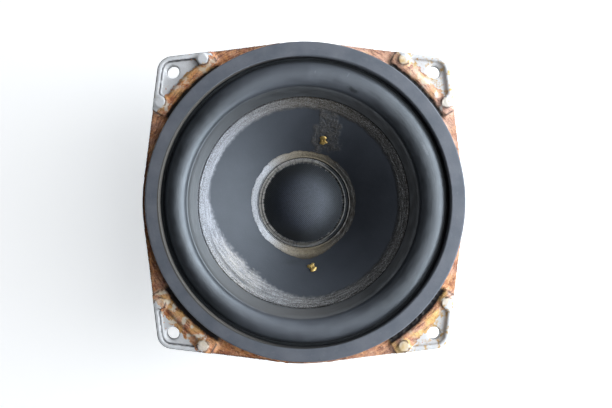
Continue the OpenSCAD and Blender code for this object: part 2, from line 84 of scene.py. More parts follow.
FORMER_IN_R, WINDING_IN_R, WINDING_TURNS = 17.6, 17.95, 33
TOP_PLATE_BORE_R, MAGNET_BORE_R, BACK_PLATE_BORE_R = 19.0, 22.0, 6.05
POLE_R, SPIGOT_R, SPIGOT_STAND = 17.2, 6.0, 0.3
SPIDER_IN_R, SPIDER_WAVE_IN_R, SPIDER_WAVE_OUT_R, SPIDER_OUT_R = 17.95, 18.75, 38.4, 43.38
SPIDER_SHEET, SPIDER_WAVES, SPIDER_WAVE_H, SPIDER_Z, SPIDER_COLLAR_Z = 0.4, 5, 0.8, 36.2, 39.0
EYELET_REACH, EYELET_HEAD_R, EYELET_BARREL_R, EYELET_BACK = 26.0, 2.0, 1.2, 2.2
EYELET_ANGLES = {"positive": 72.5, "negative": -82.5}
LEAD_STRAIGHT, LUG_TAB_AT = 2.0, (47.6, 13.5, 46.0)
LEAD_WAYS = {
    "positive": [(40, 16, 47.5), (30, 22, 49), (19, 26.5, 51.5), (11, 28, 54.5)],
    "negative": [(40, -16, 47.5), (30, -23, 49), (18, -28, 51.5), (8, -29.5, 54.5)],
}


def span(node):
    """Radius and lowest and highest Z of a round CAD node, in mm."""
    low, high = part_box(node)
    return high.x / MM, low.z / MM, high.z / MM


def srgb(red, green, blue):
    """Linear colour of an sRGB one given in 0 to 255."""
    parts = [v / 255 for v in (red, green, blue)]
    return tuple(v / 12.92 if v <= 0.04045 else ((v + 0.055) / 1.055) ** 2.4 for v in parts) + (1.0,)


# Noise for shapes
def noise(points, seed):
    """Smooth noise of -1 to 1 at each row of points, with cells of size 1."""
    cell = np.floor(points).astype(np.int64)
    part = points - cell
    part = part * part * (3 - 2 * part)
    total = np.zeros(len(points))
    for corner in product((0, 1), repeat=3):
        key = (cell + corner) @ np.array([73856093, 19349663, 83492791], np.int64) + seed * 982451653
        key = (key ^ (key >> 13)) * 1274126177
        value = ((key ^ (key >> 16)) & 0xFFFF) / 0x7FFF - 1
        total += value * np.prod(np.where(corner, part, 1 - part), axis=1)
    return total


def polar_noise(r, angle, along, across, seed):
    """Noise round a ring: along is cells per radian, across is cells per mm."""
    points = np.stack([np.cos(angle) * along, np.sin(angle) * along, r * across], -1)
    return noise(points.reshape(-1, 3), seed).reshape(r.shape)


def level_noise(x, y, scale, seed):
    """Noise over the ground plane, with scale cells per mm."""
    points = np.stack([x * scale, y * scale, np.zeros_like(x)], -1)
    return noise(points.reshape(-1, 3), seed).reshape(x.shape)


def smoothstep(low, high, value):
    part = np.clip((value - low) / (high - low), 0, 1)
    return part * part * (3 - 2 * part)


def bump_at(value, centre, half_width):
    """1 at centre, falling smoothly to 0 half_width away."""
    return 1 - smoothstep(0, half_width, np.abs(value - centre))


# Meshes, and how many corners the turned ones have round them
COIL_TURNS, RING_TURNS, SPIDER_TURNS, MAGNET_TURNS = 96, 192, 240, 384
ROLL_TURNS, FINE_TURNS, CONE_TURNS = 400, 480, 600


def circle(count):
    """Even angles round a circle."""
    return np.linspace(0, 2 * pi, count, endpoint=False)


def radii(points):
    return np.hypot(points[:, 0], points[:, 1])


def make_mesh(points, faces):
    """A mesh from points in mm."""
    mesh = bpy.data.meshes.new("piece")
    mesh.from_pydata((np.asarray(points) * MM).tolist(), [], faces)
    return mesh


def unit(rows):
    """The rows at length 1."""
    return rows / np.linalg.norm(rows, axis=-1, keepdims=True)


def lengths_along(line):
    return np.concatenate([[0], np.cumsum(np.linalg.norm(np.diff(line, axis=0), axis=1))])


def rounded(corners, steps=4, hold=0.12):
    """Points of a closed section from (r, z, rounding) corners, with points that hold the flats flat."""
    points = []
    for k, (r, z, rounding) in enumerate(corners):
        here = np.array([r, z])
        if not rounding:
            points.append(here)
            continue
        before = np.array(corners[k - 1][:2]) - here
        after = np.array(corners[(k + 1) % len(corners)][:2]) - here
        room = 0.45 * min(np.linalg.norm(before), np.linalg.norm(after))
        before, after = unit(before), unit(after)
        reach = min(rounding, room)
        held = [reach + hold] if reach + hold < room else []
        points += [here + before * way for way in held]
        for t in np.linspace(0, 1, steps + 1):
            points.append(here + ((1 - t) ** 2 * before + t**2 * after) * reach)
        points += [here + after * way for way in held]
    return np.array(points)


def sheet_section(line, thickness):
    """Closed section of a sheet round its middle line, which runs from small r to large r."""
    step = unit(np.gradient(line, axis=0))
    across = np.stack([-step[:, 1], step[:, 0]], -1) * thickness / 2
    return np.concatenate([line - across, (line + across)[::-1]])


def even_line(corners, step):
    """Points a step apart on the line through the corners."""
    corners, along = np.array(corners), lengths_along(corners)
    at = np.linspace(0, along[-1], max(2, int(along[-1] / step)))
    return np.stack([np.interp(at, along, corners[:, k]) for k in (0, 1)], -1)


def softened(line, rounds):
    """The line with its corners smoothed, and its ends kept."""
    line = np.array(line)
    for _ in range(rounds):
        line[1:-1] = (line[:-2] + 2 * line[1:-1] + line[2:]) / 4
    return line


def grid_quads(turns, count, steps):
    """Quads of turns rows of count points, over so many steps of a row. The last row joins the first."""
    here, there = (part.ravel() for part in np.meshgrid(np.arange(turns), np.arange(steps), indexing="ij"))
    after, beyond = (here + 1) % turns, (there + 1) % count
    corners = [here * count + there, after * count + there, after * count + beyond, here * count + beyond]
    return np.stack(corners, -1)


def lathe(section, turns, closed=True, shape=None):
    """A mesh turned round Z from an anticlockwise section of (r, z) in mm. shape(r, angle, z) may move it.
    An open section starts and ends on the axis."""
    section = np.asarray(section, float)
    count = len(section)
    angle = np.repeat(circle(turns)[:, None], count, 1)
    r, z = (np.repeat(section[None, :, k], turns, 0) for k in (0, 1))
    if shape:
        r, z = shape(r, angle, z)
    points = np.stack([r * np.cos(angle), r * np.sin(angle), z], -1).reshape(-1, 3)
    quads = grid_quads(turns, count, count if closed else count - 1)
    mesh = make_mesh(points, quads.tolist())
    if not closed:
        merge(mesh)
    return mesh


def merge(mesh):
    work = bmesh.new()
    work.from_mesh(mesh)
    bmesh.ops.remove_doubles(work, verts=work.verts, dist=1e-6)
    work.to_mesh(mesh)
    work.free()


def cad_copy(node):
    """The mesh of a CAD node, joined up."""
    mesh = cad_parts[node].data.copy()
    merge(mesh)
    return mesh


def bevelled(node, width):
    """A CAD node's mesh with its sharp edges rounded."""
    mesh = cad_copy(node)
    work = bmesh.new()
    work.from_mesh(mesh)
    bmesh.ops.dissolve_limit(work, angle_limit=radians(1), verts=work.verts, edges=work.edges)
    edges = [e for e in work.edges if len(e.link_faces) == 2 and e.calc_face_angle(0) > radians(35)]
    bmesh.ops.bevel(work, geom=edges, offset=width * MM, offset_type="OFFSET", segments=3, profile=0.5,
                    affect="EDGES", clamp_overlap=True)
    work.to_mesh(mesh)
    work.free()
    return mesh


def modified(mesh, *modifiers):
    """The mesh after modifiers, each given as its type and settings."""
    holder = bpy.data.objects.new(mesh.name, mesh)
    scene.collection.objects.link(holder)
    for kind, settings in modifiers:
        modifier = holder.modifiers.new(kind.lower(), kind)
        for key, value in settings.items():
            setattr(modifier, key, value)
    result = bpy.data.meshes.new_from_object(holder.evaluated_get(bpy.context.evaluated_depsgraph_get()))
    bpy.data.objects.remove(holder)
    return result


def corners_of(mesh):
    points = np.zeros(len(mesh.vertices) * 3)
    mesh.vertices.foreach_get("co", points)
    return points.reshape(-1, 3) / MM


def set_corners(mesh, points):
    mesh.vertices.foreach_set("co", (points * MM).ravel())
    mesh.update()


def set_values(mesh, name, values):
    attribute = mesh.attributes.new(name, "FLOAT", "POINT")
    attribute.data.foreach_set("value", np.asarray(values, np.float32).ravel())


def tube(line, radius, sides, twist=0.0, offset=0.0, phase=0.0):
    """Points and faces of a closed tube along a line in mm; with an offset it winds round the line."""
    line, step = np.array(line), unit(np.gradient(line, axis=0))
    side = unit(np.cross(step, [0, 0, 1.0]))
    up = np.cross(side, step)
    turn = (twist * lengths_along(line) + phase)[:, None]
    middle = line + offset * (np.cos(turn) * side + np.sin(turn) * up)
    points = np.concatenate([middle + radius * (cos(t) * side + sin(t) * up) for t in circle(sides)])
    start = np.arange(sides) * len(line)
    ends = [start[::-1].tolist(), (start + len(line) - 1).tolist()]
    return points, grid_quads(sides, len(line), len(line) - 1).tolist() + ends


def joined(*parts):
    """One mesh from several lists of points and faces."""
    points, faces, start = [], [], 0
    for some, their in parts:
        points.append(some)
        faces += [[start + k for k in face] for face in their]
        start += len(some)
    return make_mesh(np.concatenate(points), faces)


def place(name, mesh, paint, slot, node=None, body="frame", sharp=35):
    """Puts a finished mesh in the scene in place of a CAD node. A piece that bends has no body here."""
    mesh.name = name
    mesh.materials.clear()
    mesh.materials.append(paint)
    mesh.shade_smooth()
    mesh.set_sharp_from_angle(angle=radians(sharp))
    piece = bpy.data.objects.new(name, mesh)
    scene.collection.objects.link(piece)
    if node:
        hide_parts(node)
    if body:
        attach(piece, body)
    return piece


def bend_by_radius(piece, still_r, moving_r):
    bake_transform(piece)
    points = corners_of(piece.data)
    weight = smoothstep(0, 1, (still_r - radii(points)) / (still_r - moving_r))


# Materials
class Field:
    """A value, vector or colour that varies over a piece: an output of a node."""

    def __init__(self, nodes, socket):
        self.nodes, self.socket = nodes, socket

    def __add__(self, other):
        return self.nodes.math("ADD", self, other)

    def __sub__(self, other):
        return self.nodes.math("SUBTRACT", self, other)

    def __mul__(self, other):
        return self.nodes.math("MULTIPLY", self, other)

    def max(self, other):
        return self.nodes.math("MAXIMUM", self, other)

    def span(self, low, high, out_low=0.0, out_high=1.0):
        """The value mapped from low and high to out_low and out_high."""
        limits = {"From Min": low, "From Max": high, "To Min": out_low, "To Max": out_high}
        return self.nodes.node("MapRange", {"Value": self, **limits})

    def tone(self, low, high, first, second):
        """The first colour where the value is low and the second where it is high."""
        return self.nodes.mix(self.span(low, high), first, second)

    def coated(self, *coats):
        """The colour under coats of paint: each coat's cover and colour, or in place of the cover a value,
        its limits where the coat is absent and at its most, and that most."""
        colour = self
        for *cover, coat in coats:
            if len(cover) > 1:
                value, low, high, most = cover
                cover = [value.span(low, high, 0, most)]
            colour = self.nodes.mix(cover[0], colour, coat)
        return colour


class Nodes:
    """The nodes of a material or the world."""

    def __init__(self, owner):
        owner.use_nodes = True
        self.tree = owner.node_tree

    def feed(self, node, inputs):
        """Links fields to a node's inputs, or sets the inputs to plain values."""
        for key, value in inputs.items():
            if isinstance(value, Field):
                self.tree.links.new(value.socket, node.inputs[key])
            else:
                node.inputs[key].default_value = value

    def node(self, kind, inputs=None, output=0, **settings):
        """An output of a new node."""
        node = self.tree.nodes.new("ShaderNode" + kind)
        for key, value in settings.items():
            setattr(node, key, value)
        self.feed(node, inputs or {})
        return Field(self, node.outputs[output])

    def math(self, operation, first, second=0.0, clamp=False):
        return self.node("Math", {0: first, 1: second}, operation=operation, use_clamp=clamp)

    def vector(self, operation, first, second=(0, 0, 0), output=0):
        return self.node("VectorMath", {0: first, 1: second}, output, operation=operation)

    def scaled(self, vector, scale):
        return self.node("VectorMath", {0: vector, "Scale": scale}, operation="SCALE")

    def part(self, vector, axis):
        return self.node("SeparateXYZ", {0: vector}, axis)

    def mix(self, factor, *pair):
        """A mix of two colours, each a field or an sRGB triple."""
        first, second = (srgb(*colour) if isinstance(colour, tuple) else colour for colour in pair)
        return self.node("Mix", {0: factor, 6: first, 7: second}, 2, data_type="RGBA")


class Paint(Nodes):
    """A material in the making. Its coordinates are the row frame's, in mm: z is the height and r the
    distance from the axis. x and y are the parts of the direction from it, -1 to 1."""

    def __init__(self, name, gloss=0.5, tint=(1, 1, 1, 1), **values):
        self.material = bpy.data.materials.new(name)
        super().__init__(self.material)
        self.shader = self.tree.nodes["Principled BSDF"]
        self.feed(self.shader, {"Specular IOR Level": gloss, "Specular Tint": tint, **values})
        self.place = self.scaled(self.node("TexCoord", output="Object"), 1 / MM)
        self.z = self.part(self.place, "Z")
        flat = self.vector("MULTIPLY", self.place, (1, 1, 0))
        self.r = self.length(flat)
        self.outward = self.vector("NORMALIZE", flat)
        self.x, self.y = (self.part(self.outward, axis) for axis in "XY")

    def length(self, vector):
        return self.vector("LENGTH", vector, output="Value")

    def noise(self, scale, detail=3, rough=0.55, vector=None):
        inputs = {"Vector": vector or self.place, "Scale": scale, "Detail": detail, "Roughness": rough}
        return self.node("TexNoise", inputs, "Fac")

    def streaks(self, along, across, detail, rough=0.55):
        """Noise round the axis: along is cells per radian, across is cells per mm."""
        level = self.node("CombineXYZ", {"Z": (self.r + self.z) * across})
        return self.noise(1.0, detail, rough, self.vector("ADD", self.scaled(self.outward, along), level))

    def value(self, name):
        return self.node("Attribute", output="Fac", attribute_name=name)

    def weave(self, pitch):
        """Height of a plain weave lying level, 0 to 1, with pitch in mm between threads."""
        phase = self.scaled(self.place, 2 * pi / pitch)
        across, along = (self.math("SINE", self.part(phase, axis)) for axis in "XY")
        return (across * along).span(-1, 1)

    def smear(self, at, size, turn=0, edge=0.5):
        """1 inside a ragged oval of size (length, width) at (x, y) mm, turned by so many degrees."""
        inputs = {"Vector": self.vector("SUBTRACT", self.place, (*at, 0)), "Angle": -radians(turn)}
        there = self.node("VectorRotate", inputs, rotation_type="Z_AXIS")
        part = self.length(self.vector("MULTIPLY", there, (2 / size[0], 2 / size[1], 0)))
        return (part + self.noise(1.3).span(0.3, 0.7, -0.4, 0.4)).span(1.0, 1.0 - edge)

    def finish(self, colour, rough, relief, metal=0.0):
        """The material. Its fine relief is layers of (height, strength, depth in mm), the deepest first."""
        under = {}
        for height, strength, depth in relief:
            layer = {"Height": height, "Strength": strength, "Distance": depth * MM}
            under = {"Normal": self.node("Bump", {**layer, **under})}
        self.feed(self.shader, {"Base Color": colour, "Roughness": rough, "Metallic": metal, **under})
        return self.material


# The tint of rubber's and paper's gloss, and how much of the glue shines like metal
BLUISH = (0.8, 0.9, 1.0, 1.0)
GLUE_SHINE = 0.95


def aluminium_paint():
    """Cast aluminium, darker on the steep walls of its pockets from dirt and painted shade, and duller on
    the rear.
    """
    paint = Paint("cast_aluminium")
    blotch = paint.noise(0.16, 5)
    grain = paint.noise(2.2, 4)
    stain = paint.noise(0.45, 5, 0.6)
    front = paint.z.span(FLANGE_Z - 2, FLANGE_Z - 0.5)
    window_side = paint.x.span(-0.4, 0.6) * front
    # On the window's side the face is painted whiter, as painted light; yellow stains gather there too
    face = blotch.tone(0.35, 0.7, (222, 225, 229), (200, 202, 206)).coated(
        (window_side * 0.3, (240, 241, 242)),
        (grain, 0.5, 0.78, 0.5, (172, 173, 175)),
        (stain, 0.6, 0.72, 0.45, (186, 170, 140)),
        (stain.span(0.51, 0.6) * window_side, (204, 170, 112)))
    # Dirt and painted shade darken the steep walls of the pockets
    grime_and_shade = paint.value("grime_and_shade") * stain.span(0.3, 0.5, 0.5, 0.95)
    colour = blotch.tone(0.35, 0.7, (164, 166, 168), (138, 140, 142)).coated(
        (grain, 0.5, 0.78, 0.5, (116, 117, 119)), (front, face), (grime_and_shade, (72, 73, 76)))
    rough = blotch.span(0.3, 0.7, 0.5, 0.66) + grime_and_shade * 0.3
    relief = [(blotch, 0.3, 0.6), (grain, 0.35, 0.12)]
    return paint.finish(colour, rough, relief, grain.span(0.3, 0.7, 0.3, 0.15))


def cement_paint():
    """Dried cement: pale and gold are its white flakes and yellow patches, and dark is black cement in
    the crevices, partly painted shade, with painted shadow beside the gasket and painted shade at the
    steps and the left edge. tone is pink, partly a painted sheen.
    """
    paint = Paint("dried_cement")
    patch = paint.noise(0.4, 5, 0.6)
    drawn = paint.streaks(20, 1.5, 4, 0.6)
    fine = paint.noise(1.9, 4)
    colour = patch.tone(0.38, 0.62, (226, 158, 98), (170, 98, 62)).coated(
        (paint.value("tone"), (218, 176, 158)),
        (paint.value("gold") * 0.85, (222, 182, 108)),
        (drawn, 0.52, 0.64, 0.75, (98, 52, 44)),
        (drawn, 0.42, 0.3, 0.7, (238, 206, 164)),
        (fine, 0.56, 0.7, 0.45, (84, 50, 46)),
        (fine, 0.44, 0.32, 0.45, (240, 212, 180)),
        (paint.value("pale"), paint.mix(paint.value("tan"), (224, 221, 213), (206, 180, 128))),
        (paint.value("dark"), (22, 17, 17)))
    return paint.finish(colour, patch.span(0.3, 0.7, 0.28, 0.5), [(drawn, 0.5, 0.4), (fine, 0.5, 0.25)])


def gasket_paint():
    paint = Paint("gasket_rubber", 0.7, BLUISH)
    streak = paint.streaks(26, 0.9, 4)
    grain = paint.noise(2.6)
    chamfer = paint.r.span(GASKET_FLAT_R + 0.1, GASKET_FLAT_R - 0.2)
    colour = paint.noise(0.12, 5).tone(0.35, 0.68, (84, 89, 98), (100, 103, 111)).coated(
        (streak, 0.56, 0.8, 0.35, (114, 118, 126)),
        (paint.noise(0.9, 5, 0.7), 0.62, 0.72, 0.5, (58, 60, 66)),
        # The inner chamfer is tan and lighter towards the left, where it faces the window, as a painted
        # highlight, and dark elsewhere as painted shade
        (chamfer, paint.x.tone(-0.1, -0.6, (34, 31, 29), (68, 64, 58))),
        # Lower down, the inner wall is painted near black as painted shade
        (chamfer * paint.z.span(WALL_SHADE_Z, WALL_SHADE_Z - 0.4), (8, 8, 9)))
    return paint.finish(colour, grain.span(0.3, 0.7, 0.52, 0.68), [(streak, 0.25, 0.15), (grain, 0.3, 0.1)])


# Marks on the surround, each with its place, size and turn: dark smears, and pale scuffs
SMEARS = [((19.2, 43.4), (5.0, 2.0), -35)]
SCUFFS = [((4.6, 50.4), (1.8, 0.7), 70), ((17.3, 49.2), (2.2, 0.7), 55), ((47.0, 20.5), (7.0, 1.2), -64)]


def surround_paint():
    paint = Paint("surround_rubber", 0.9, BLUISH, IOR=1.75)
    dust = paint.streaks(9, 0.5, 5)
    streak = paint.streaks(5, 2.6, 4, 0.6)
    lap = paint.r.span(45.8, 44.9)
    # The roll's outer foot beside the gasket is painted near black and made rougher, as painted shade
    foot_shade = paint.r.span(ROLL_MID_R + ROLL_R - 0.6, ROLL_MID_R + ROLL_R + 0.1)
    near = paint.y.span(-0.4, -0.95) * paint.x.span(0.6, 0.0)
    skin = streak.tone(0.35, 0.65, (14, 14, 16), (34, 32, 31)).coated((near * 0.5, (80, 77, 74)))
    # Paler and bluish at the top and bottom: dust, and a painted sheen
    dust_and_sheen = paint.y.span(0.7, 0.95).max(paint.y.span(-0.75, -0.97))
    colour = dust.tone(0.4, 0.7, (22, 24, 29), (36, 39, 45)).coated(
        (dust_and_sheen * 0.5, (92, 97, 106)), (lap, skin),
        *[(paint.smear(*mark), (12, 12, 14)) for mark in SMEARS],
        *[(paint.smear(*mark) * 0.16, (150, 156, 164)) for mark in SCUFFS],
        # A dark line at the lap's inner edge is painted shade
        (paint.r, LAP_IN_R + 0.3, LAP_IN_R + 0.1, 0.5, (14, 14, 16)),
        (foot_shade, (6, 6, 7)))
    rough = dust.span(0.3, 0.7, 0.42, 0.56) + foot_shade * 0.4 - lap * 0.1
    relief = [(streak, 0.35, 0.12), (dust, 0.2, 0.3), (paint.noise(3.0), 0.2, 0.06)]
    return paint.finish(colour, rough, relief)


# Dark stains on the cone, round the eyelets and beside the lower one: place and size
CONE_STAINS = [((7.9, 24.8), (5.6, 5.2)), ((3.4, -25.8), (5.2, 5.2)), ((-4.5, -23.7), (9.0, 3.0))]


def cone_paint():
    """Dark paper, and the brushed glue on it: tan above, bluish on the left as a painted reflection, with
    pale streaks at the lower left that are partly a painted highlight, and dark on the right as painted
    shade.
    """
    paint = Paint("cone_paper", 0.95, BLUISH)
    fibre = paint.noise(1.7, 5, 0.65)
    brushed = paint.streaks(7, 3.4, 4, 0.6)
    speck = paint.noise(2.8, 2)
    glue = paint.value("glue")
    wide = paint.y.span(-0.3, -0.6) * paint.x.span(-0.3, -0.6)
    skin = brushed.tone(0.38, 0.6, (74, 71, 66), (152, 154, 156)).coated(
        (paint.y, 0.5, 0.95, 0.5, (104, 94, 78)),
        # Bluish towards the left as a painted reflection, and pale brushed streaks at the lower left,
        # partly a painted highlight
        (paint.x, 0.0, -0.7, 0.5, (154, 161, 173)),
        (wide * brushed.span(0.42, 0.54, 0, 0.6), (184, 181, 174)),
        (speck.span(0.48, 0.64) * paint.r.span(38.5, 40.3, 0.35, 0.8), (62, 60, 58)),
        # Darker towards the right, as painted shade
        (paint.x, 0.0, 0.7, 0.6, (48, 46, 44)),
        (speck, 0.48, 0.32, 0.4, (172, 178, 188)))
    colour = paint.noise(0.09, 5).tone(0.35, 0.65, (30, 33, 41), (40, 43, 51)).coated(
        (fibre, 0.55, 0.75, 0.5, (60, 64, 72)), (glue, skin),
        *[(paint.smear(*stain, edge=0.8) * 0.7, (16, 16, 18)) for stain in CONE_STAINS],
        # The crack at the cone's rim is painted dark as painted shade
        (paint.r, CRACK_R - 0.25, CRACK_R, 0.5, (14, 14, 16)))
    rough = fibre.span(0.3, 0.7, 0.56, 0.66) - glue * 0.12
    relief = [(fibre, 0.35, 0.12), ((brushed + speck) * glue, 0.7, 0.25)]
    return paint.finish(colour, rough, relief, glue * GLUE_SHINE)


def neck_glue_paint():
    paint = Paint("neck_adhesive", 1.0, BLUISH)
    brushed = paint.streaks(7, 3.0, 5, 0.6)
    speck = paint.noise(2.8, 2)
    left_glint = paint.x.span(-0.98, -0.8) * paint.x.span(0.0, -0.5)
    tan = paint.y.span(0.7, 0.95).max(paint.y.span(-0.7, -0.95))
    groove_shade = paint.r.span(LIP_R - 0.05, LIP_R - 0.25)
    colour = brushed.tone(0.3, 0.7, (108, 104, 96), (172, 174, 176)).coated(
        (paint.noise(0.5, 4), 0.5, 0.75, 0.6, (86, 78, 62)),
        # Bluish and paler towards the left, palest at the upper and lower left, as a painted reflection
        (paint.x, 0.1, -0.6, 0.55, (176, 183, 194)),
        (left_glint * 0.4, (228, 233, 240)), (tan * 0.6, (158, 144, 114)),
        # Darker towards the right, as painted shade
        (paint.x, 0.1, 0.8, 0.5, (58, 56, 54)),
        (paint.r, 20.4, 22.4, 0.8, (60, 58, 58)),
        (speck, 0.52, 0.66, 0.6, (72, 66, 58)),
        # The groove inside the lip is near black: black adhesive and painted shade
        (groove_shade, (8, 8, 9)))
    rough = brushed.span(0.3, 0.7, 0.54, 0.68) + groove_shade * 0.3
    relief = [(speck, 0.8, 0.2), (brushed, 0.7, 0.3)]
    return paint.finish(colour, rough, relief, groove_shade.span(0, 1, GLUE_SHINE, 0))


def cap_paint():
    """Woven cap; its brim is soaked in pale glue, through which the threads show as teeth."""
    paint = Paint("cap_cloth", 0.72, BLUISH, IOR=1.55)
    weave = paint.weave(0.8)
    mottle = paint.noise(1.6, 5, 0.65)
    thread = paint.streaks(26, 0.3, 3)
    r = paint.r
    brim = r.span(CAP_RIDGE_R - 1.6, CAP_RIDGE_R, -0.6, 1.0) + thread.span(0.3, 0.7, -0.6, 0.6)
    brim = brim.span(0.3, 0.9)
    # The brim's threads are painted paler towards the left and darker at the bottom, as painted light
    threads = paint.x.tone(0.1, -0.7, (112, 110, 106), (152, 150, 146))
    threads = threads.coated((paint.y, -0.5, -0.95, 1, (86, 84, 80)))
    # The groove beside the ridge is painted near black on the right, as painted shade
    groove_shade = r.span(CAP_RIDGE_R + 0.1, CAP_RIDGE_R + 0.4) * paint.x.span(0.3, 0.6)
    colour = paint.mix(weave, (18, 20, 27), (57, 62, 76)).coated(
        (mottle, 0.42, 0.66, 0.8, (16, 18, 23)),
        # Darker towards the dome's edge, as painted shade
        (r, 8.0, 13.5, 0.9, (8, 9, 11)),
        (brim, threads), (groove_shade, (8, 8, 9)))
    dull = r.span(8.5, 14.5, 0, 0.35) * paint.x.span(-0.2, 0.5)
    dull = paint.math("SUBTRACT", dull, brim, clamp=True)
    rough = mottle.span(0.3, 0.7, 0.38, 0.5) - brim * 0.1 + (groove_shade * 0.6).max(dull)
    return paint.finish(colour, rough, [(weave, 0.7, 0.2), (thread * brim, 0.5, 0.15)])


def spider_paint():
    paint = Paint("spider_cloth", 0.3, **{"Sheen Weight": 0.2})
    weave = paint.weave(0.9)
    stain = paint.noise(0.2, 4)
    colour = paint.mix(weave, (132, 84, 40), (186, 134, 72)).coated((stain, 0.45, 0.75, 0.5, (132, 84, 40)))
    return paint.finish(colour, stain.span(0.3, 0.7, 0.65, 0.85), [(weave, 0.7, 0.25)])


def metal_paint(name, light, dark, metal, rough, turned=False, spots=None):
    """A worn metal: turned gives it a lathe's rings, and spots are the colour of its rust or tarnish."""
    paint = Paint(name)
    tarnish = paint.noise(0.22, 5)
    fine = paint.streaks(3, 2.2, 4) if turned else paint.noise(2.4, 4)
    colour = tarnish.tone(0.35, 0.7, light, dark)
    if spots:
        colour = colour.coated((paint.noise(0.9, 5, 0.7), 0.6, 0.7, 0.8, spots))
    return paint.finish(colour, tarnish.span(0.3, 0.7, rough - 0.06, rough + 0.12),
                        [(fine, 0.3, 0.06)], tarnish.span(0.35, 0.75, metal, metal * 0.7))


def plain_paint(name, light, dark, rough, scale=0.5):
    """A matt solid such as ferrite, laminate or card."""
    paint = Paint(name, 0.4)
    cloud = paint.noise(scale, 5)
    speck = paint.noise(scale * 6)
    colour = cloud.tone(0.35, 0.68, light, dark).coated((speck, 0.58, 0.75, 0.5, dark))
    return paint.finish(colour, cloud.span(0.3, 0.7, rough - 0.08, rough + 0.08), [(speck, 0.4, 0.12)])


# Magnet system
steel = metal_paint("plated_steel", (176, 176, 170), (130, 128, 120), 0.9, 0.34, True, (120, 84, 58))
ferrite = plain_paint("ferrite", (64, 64, 68), (44, 44, 47), 0.55)
magnet_r = span("magnet")[0]
CHIP_REACH, CHIP_DEPTH = 0.9, 0.9


def disc(name, node, bore_r, paint, slot, edge, rear_edge=None, body="frame", turns=RING_TURNS, shape=None):
    """A plain ring in place of a CAD node, with the node's radius and height."""
    outer_r, low_z, high_z = span(node)
    section = [(bore_r, low_z, edge), (outer_r, low_z, rear_edge or edge), (outer_r, high_z, edge),
               (bore_r, high_z, edge)]
    place(name, lathe(rounded(section), turns, shape=shape), paint, slot, node, body)


def chipped(r, angle, z):
    """Small chips along the rims of the sintered magnet."""
    rim = smoothstep(magnet_r - CHIP_REACH, magnet_r - 0.1, r)
    chip = np.clip(polar_noise(r, angle, 38, 0.0, 4) - 0.45, 0, 1) * CHIP_DEPTH * rim
    return r - chip + 0.04 * polar_noise(z, angle, 20, 0.6, 5), z


disc("back_plate_steel", "back_plate", BACK_PLATE_BORE_R, steel, "plated_steel", 0.3, 1.2)
spigot_top, pole_high = span("back_plate")[2], span("pole_piece")[2]
pole_section = [(0.0, SPIGOT_STAND, 0), (SPIGOT_R, SPIGOT_STAND, 0.4), (SPIGOT_R, spigot_top, 0),
                (POLE_R, spigot_top, 0.3), (POLE_R, pole_high, 0.6), (0.0, pole_high, 0)]
pole = lathe(rounded(pole_section), RING_TURNS, closed=False)
place("pole_steel", pole, steel, "plated_steel", "pole_piece")
disc("top_plate_steel", "top_plate", TOP_PLATE_BORE_R, steel, "plated_steel", 0.4)
disc("magnet_ferrite", "magnet", MAGNET_BORE_R, ferrite, "ferrite", 0.8, turns=MAGNET_TURNS, shape=chipped)

# Basket: a cast surface with soft edges
VOXEL, CAST_FACES, CAST_WAVES = 0.42, 190000, 0.05
remesh = ("REMESH", {"mode": "VOXEL", "voxel_size": VOXEL * MM, "adaptivity": 0.0})
basket_mesh = modified(cad_copy("basket"), remesh, ("SMOOTH", {"factor": 0.5, "iterations": 3}))
points = corners_of(basket_mesh)
set_corners(basket_mesh, points + noise(points * 0.35, 1)[:, None] * CAST_WAVES)
keep = min(1.0, CAST_FACES / (2 * len(basket_mesh.polygons)))
basket_mesh = modified(basket_mesh, ("DECIMATE", {"ratio": keep}))
points = corners_of(basket_mesh)
# The steep walls of the pockets are darkened: dirt, and painted shade in the recesses, less on the window's
# side
steep = 1 - np.abs([v.normal.z for v in basket_mesh.vertices])
on_pads = (radii(points) > PAD_IN_R) & (points[:, 2] > FLANGE_Z - 0.1)
on_pads = on_pads * np.where(points[:, 0] < 0, 1.0, 0.25)
set_values(basket_mesh, "grime_and_shade", smoothstep(0.08, 0.4, steep) * on_pads * (points[:, 2] < PAD_TOP_Z - 0.1))
place("basket_casting", basket_mesh, aluminium_paint(), "cast_aluminium", "basket", sharp=60)

# Dried cement round the gasket, laid on the casting as a film whose height varies
FILM_STEP, FILM_TURNS, FILM_IN_R, FILM_OUT_R, FILM_T = 0.3, 1260, 60.6, 78.0, 0.3
CREVICE_R, BAR_END_ANGLE = 64.1, 14.5
RAY_START_Z, RAY_LENGTH = 80.0, 12.5
# For the corners at 45, 135, 225 and 315 degrees. On their clockwise and anticlockwise sides: how far the
# cement spreads past the pad's bar, how pale the boss is and how tan that pale is. Then: how much is white
# flakes, yellow, off the bosses and pink, and how much further out the crevice reaches. The pink is partly
# the cement's own colour and partly a painted sheen, stronger at the corners on the window's side.
CORNERS = {
    "spread": [(2.2, 2.0), (0.6, 0.4), (2.8, 3.2), (3.2, 1.4)],
    "boss": [(0.95, 0.9), (0.9, 0.8), (0.3, 0.85), (0.85, 0.9)],
    "tan": [(0.1, 1.0), (0.75, 0.0), (0.5, 0.25), (0.9, 0.3)],
    "flakes": [1.0, 0.7, 0.9, 0.5],
    "gold": [0.4, 0.6, 0.7, 1.0],
    "bare": [0.2, 0.5, 0.2, 0.0],
    "tone": [0.75, 0.15, 0.1, 0.4],
    "crevice": [0.2, -0.8, -0.5, 0.5],
}


def around(values):
    """The values of each cell and its eight neighbours on a grid of (turn, radius)."""
    turned = [np.roll(values, k, axis=0) for k in (-1, 0, 1)]
    return np.stack([np.pad(part, ((0, 0), (1, 1)), "edge")[:, k: k + values.shape[1]]
                     for part in turned for k in (0, 1, 2)])


